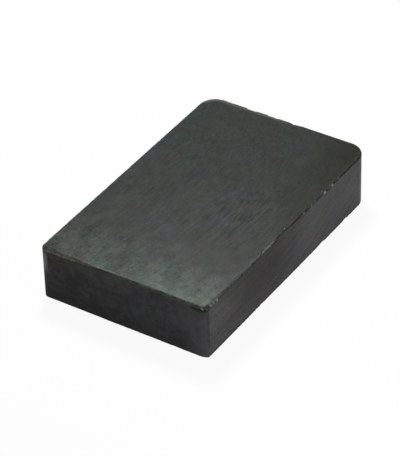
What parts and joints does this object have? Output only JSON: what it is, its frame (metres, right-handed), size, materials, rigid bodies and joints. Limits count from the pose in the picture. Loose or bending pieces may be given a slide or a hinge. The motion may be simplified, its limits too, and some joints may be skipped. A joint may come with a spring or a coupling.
{
  "type": "block magnet",
  "caption": "Rectangular sintered ferrite block magnet with flat ground pole faces, rounded upright corners and lightly chipped edges.",
  "frame": {"origin": "middle of the lower pole face, at the bottom centre of the bounding box", "axes": "+X along the length towards the end with the two larger corner radii, +Y across the width away from the chipped long side, +Z through the thickness out of the upper pole face, along the direction of magnetisation"},
  "size_m": [0.04, 0.025, 0.008],
  "materials": {
    "ferrite": "dark grey sintered ferrite: pole faces and long sides ground with fine straight lines and a dull satin sheen, ends as pressed and matt, edges worn and chipped"
  },
  "bodies": {
    "root": {"ferrite_block": "ferrite"}
  },
  "joints": []
}
